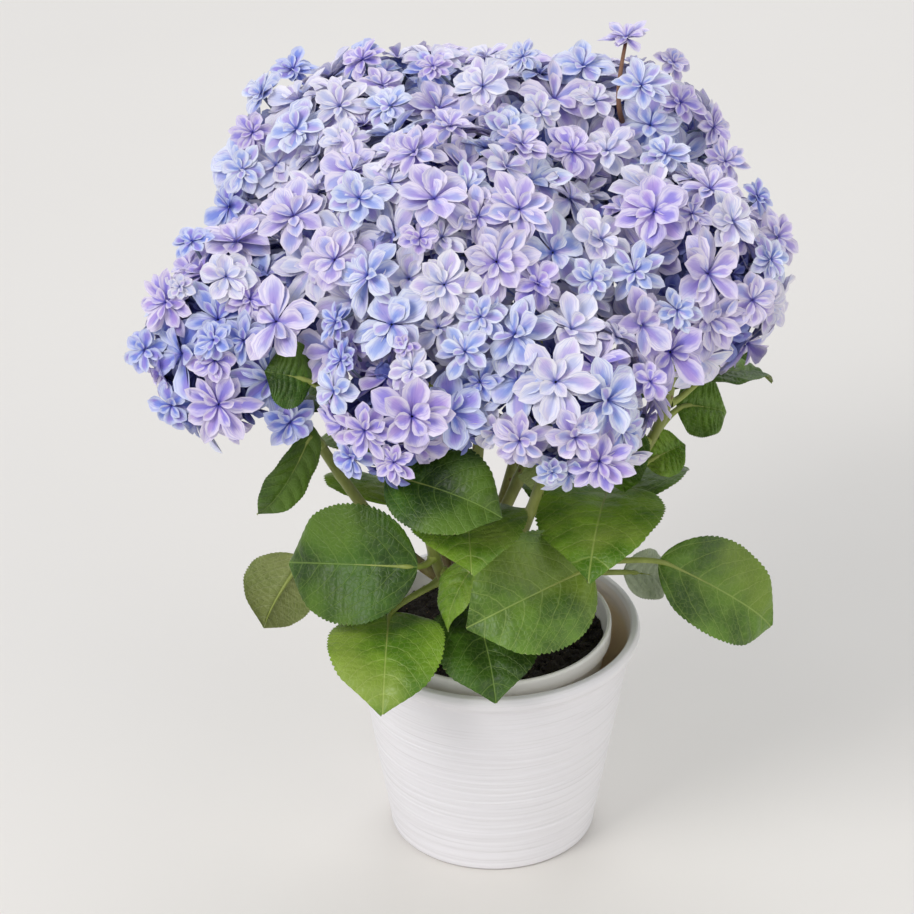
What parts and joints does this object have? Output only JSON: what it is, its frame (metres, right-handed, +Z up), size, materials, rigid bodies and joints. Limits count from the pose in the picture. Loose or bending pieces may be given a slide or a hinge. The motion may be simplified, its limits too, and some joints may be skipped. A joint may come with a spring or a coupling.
{
  "type": "potted hydrangea shrub",
  "caption": "Compact mophead hydrangea in a ribbed white cover pot, with blue and lilac double-flowered heads on short canes.",
  "frame": {"origin": "centre of the cover pot's flat underside", "axes": "+Z up along the pot axis, -Y towards the front, +X to the right seen from the front"},
  "size_m": [0.3323, 0.3239, 0.4242],
  "materials": {
    "glaze": "white satin ceramic glaze over fine thrown rings",
    "thin_plastic": "thin off-white grower pot plastic",
    "compost": "dark moist potting compost",
    "bark": "grey-brown stringy bark",
    "green_cane": "olive green half-ripe cane",
    "leaf": "satin mid-green leaf with pale veins",
    "blossom": "matt petals, white rims over blue and lilac"
  },
  "bodies": {
    "root": {"pot": "glaze", "nursery_pot": "thin_plastic", "soil": "compost", "main_stem": "bark", "cane_centre": "green_cane", "cane_left": "green_cane", "cane_upper_left": "green_cane", "cane_top_left": "green_cane", "cane_top": "green_cane", "cane_upper_right": "green_cane", "cane_right": "green_cane", "cane_low_left": "green_cane", "cane_low_right": "green_cane", "cane_back_left": "green_cane", "cane_back_right": "green_cane", "leaf_front_left": "leaf", "leaf_over_rim": "leaf", "leaf_far_left": "leaf", "leaf_under_low_left": "leaf", "leaf_centre": "leaf", "leaf_centre_right": "leaf", "leaf_big_front": "leaf", "leaf_dark_front": "leaf", "leaf_young": "leaf", "leaf_right": "leaf", "leaf_right_under": "leaf", "leaf_right_high": "leaf", "leaf_right_edge": "leaf", "leaf_right_back": "leaf", "leaf_right_small": "leaf", "leaf_right_inner": "leaf", "leaf_hanging_left": "leaf", "leaf_under_low_right": "leaf", "leaf_gap_left": "leaf", "leaf_gap_low": "leaf", "leaf_gap_right": "leaf", "leaf_back_left": "leaf", "leaf_back_right": "leaf", "leaf_back_middle": "leaf", "leaf_upper_left": "leaf", "leaf_upper_right": "leaf", "leaf_low_back_left": "leaf", "leaf_low_back_right": "leaf", "leaf_side_right": "leaf", "flower_head_centre": "blossom", "flower_head_left": "blossom", "flower_head_upper_left": "blossom", "flower_head_top_left": "blossom", "flower_head_top": "blossom", "flower_head_upper_right": "blossom", "flower_head_right": "blossom", "flower_head_low_left": "blossom", "flower_head_low_right": "blossom", "flower_head_back_left": "blossom", "flower_head_back_right": "blossom"}
  },
  "joints": []
}
